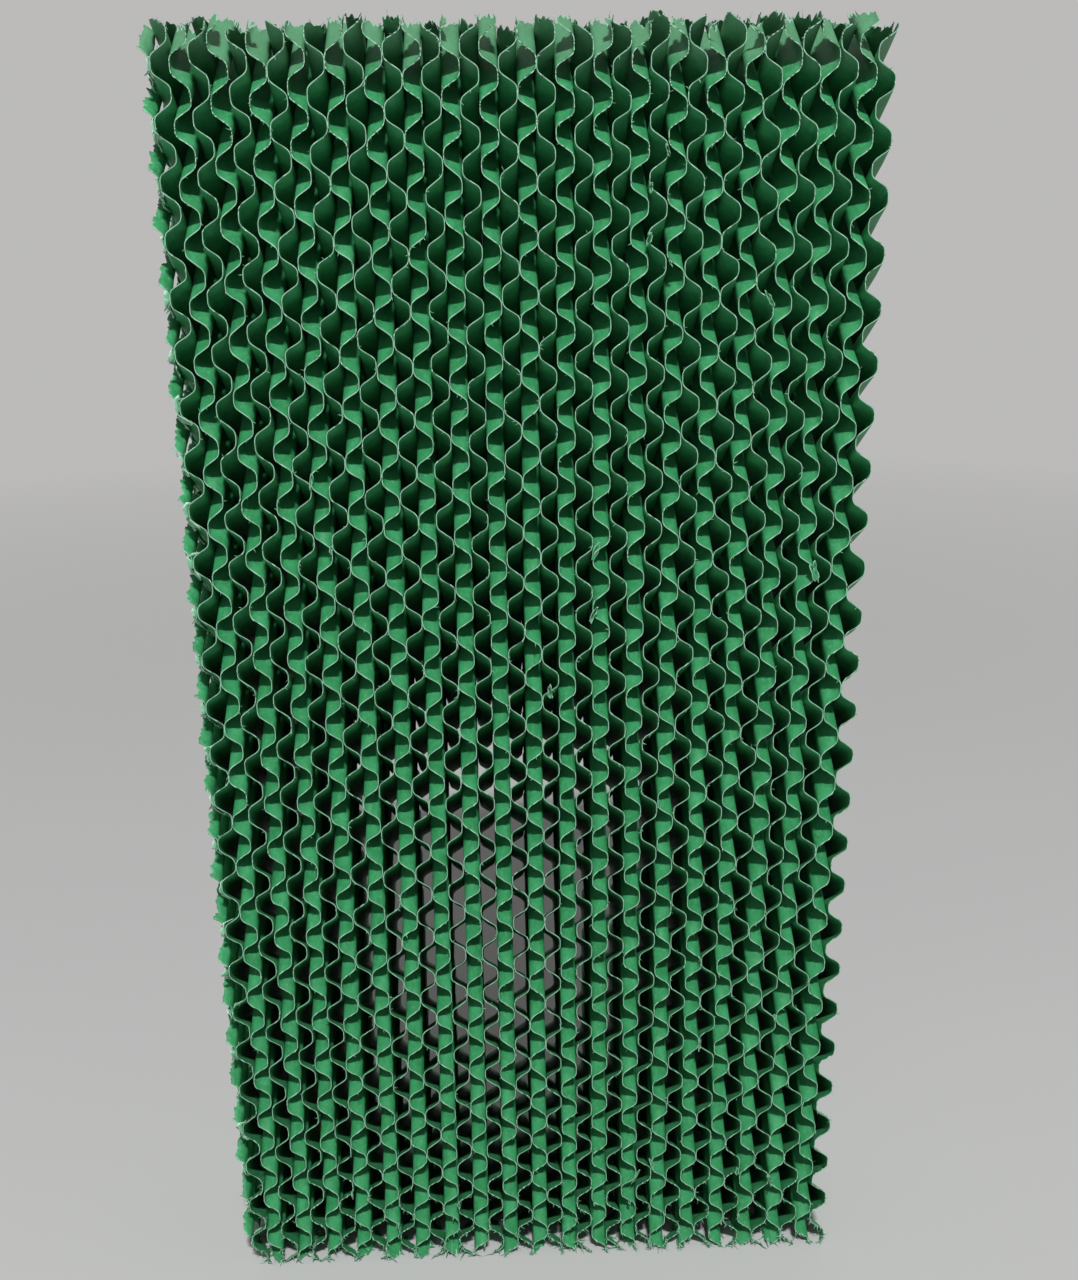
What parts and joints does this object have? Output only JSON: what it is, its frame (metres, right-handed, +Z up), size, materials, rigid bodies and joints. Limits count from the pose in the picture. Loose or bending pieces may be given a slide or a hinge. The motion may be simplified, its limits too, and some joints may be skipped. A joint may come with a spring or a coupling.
{
  "type": "evaporative cooling pad",
  "caption": "Upright block of green corrugated paper sheets glued crest to crest with crossing flutes, for wetting and cooling air that is drawn through it.",
  "frame": {"origin": "centre of the bottom cut end, on the floor that the pad stands on", "axes": "+Z up along the height, +X across the stack of sheets, -Y out of the front face that the picture shows"},
  "size_m": [0.3002, 0.075, 0.6],
  "materials": {
    "green_paper": "matte resin-stiffened paper with pale cut edges"
  },
  "bodies": {
    "root": {"fluted_sheet_01": "green_paper", "fluted_sheet_02": "green_paper", "fluted_sheet_03": "green_paper", "fluted_sheet_04": "green_paper", "fluted_sheet_05": "green_paper", "fluted_sheet_06": "green_paper", "fluted_sheet_07": "green_paper", "fluted_sheet_08": "green_paper", "fluted_sheet_09": "green_paper", "fluted_sheet_10": "green_paper", "fluted_sheet_11": "green_paper", "fluted_sheet_12": "green_paper", "fluted_sheet_13": "green_paper", "fluted_sheet_14": "green_paper", "fluted_sheet_15": "green_paper", "fluted_sheet_16": "green_paper", "fluted_sheet_17": "green_paper", "fluted_sheet_18": "green_paper", "fluted_sheet_19": "green_paper", "fluted_sheet_20": "green_paper", "fluted_sheet_21": "green_paper", "fluted_sheet_22": "green_paper", "fluted_sheet_23": "green_paper", "fluted_sheet_24": "green_paper", "fluted_sheet_25": "green_paper", "fluted_sheet_26": "green_paper", "fluted_sheet_27": "green_paper", "fluted_sheet_28": "green_paper", "fluted_sheet_29": "green_paper", "fluted_sheet_30": "green_paper", "fluted_sheet_31": "green_paper", "fluted_sheet_32": "green_paper", "fluted_sheet_33": "green_paper", "fluted_sheet_34": "green_paper", "fluted_sheet_35": "green_paper", "fluted_sheet_36": "green_paper", "fluted_sheet_37": "green_paper", "fluted_sheet_38": "green_paper", "fluted_sheet_39": "green_paper"}
  },
  "joints": []
}
